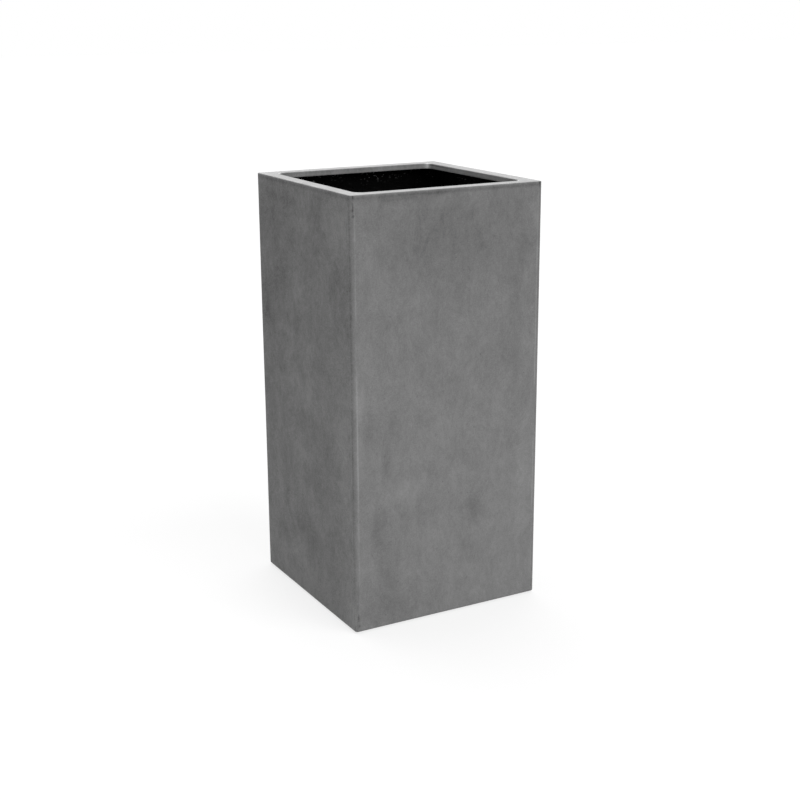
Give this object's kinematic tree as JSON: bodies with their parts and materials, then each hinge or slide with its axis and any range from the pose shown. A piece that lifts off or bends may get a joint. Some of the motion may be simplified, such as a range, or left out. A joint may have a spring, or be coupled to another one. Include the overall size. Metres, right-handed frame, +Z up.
{
  "type": "floor planter",
  "caption": "Tall square fibreglass planter: moulded stone-resin shell on glass mat, flat rim with a turned-down lip, cored floor with a lift-out drain plug, rubber feet.",
  "frame": {"origin": "middle of the footprint, on the floor under the foot pads", "axes": "+Z up, -Y out of the front wall, +X to the right seen from the front"},
  "size_m": [0.39, 0.39, 0.8],
  "materials": {
    "stone_resin": "matte",
    "glass_mat": "matte",
    "core_board": "matte",
    "drain_plastic": "satin",
    "black_rubber": "matte"
  },
  "bodies": {
    "planter": {"outer_shell": "stone_resin", "wall_laminate_front": "glass_mat", "wall_laminate_right": "glass_mat", "wall_laminate_back": "glass_mat", "wall_laminate_left": "glass_mat", "corner_tape_front_left": "glass_mat", "corner_tape_front_right": "glass_mat", "corner_tape_back_right": "glass_mat", "corner_tape_back_left": "glass_mat", "rim_core_front": "core_board", "rim_core_right": "core_board", "rim_core_back": "core_board", "rim_core_left": "core_board", "rim_backing_front": "glass_mat", "rim_backing_right": "glass_mat", "rim_backing_back": "glass_mat", "rim_backing_left": "glass_mat", "floor_board": "core_board", "floor_laminate": "glass_mat", "drain_bush": "drain_plastic", "foot_pad_front_left": "black_rubber", "foot_pad_front_right": "black_rubber", "foot_pad_back_right": "black_rubber", "foot_pad_back_left": "black_rubber"},
    "stopper": {"drain_plug": "black_rubber"}
  },
  "joints": [
    {"name": "plug_lift", "type": "slide", "parent": "planter", "child": "stopper", "axis": [0, 0, 1], "range_m": [0, 0.84]}
  ]
}
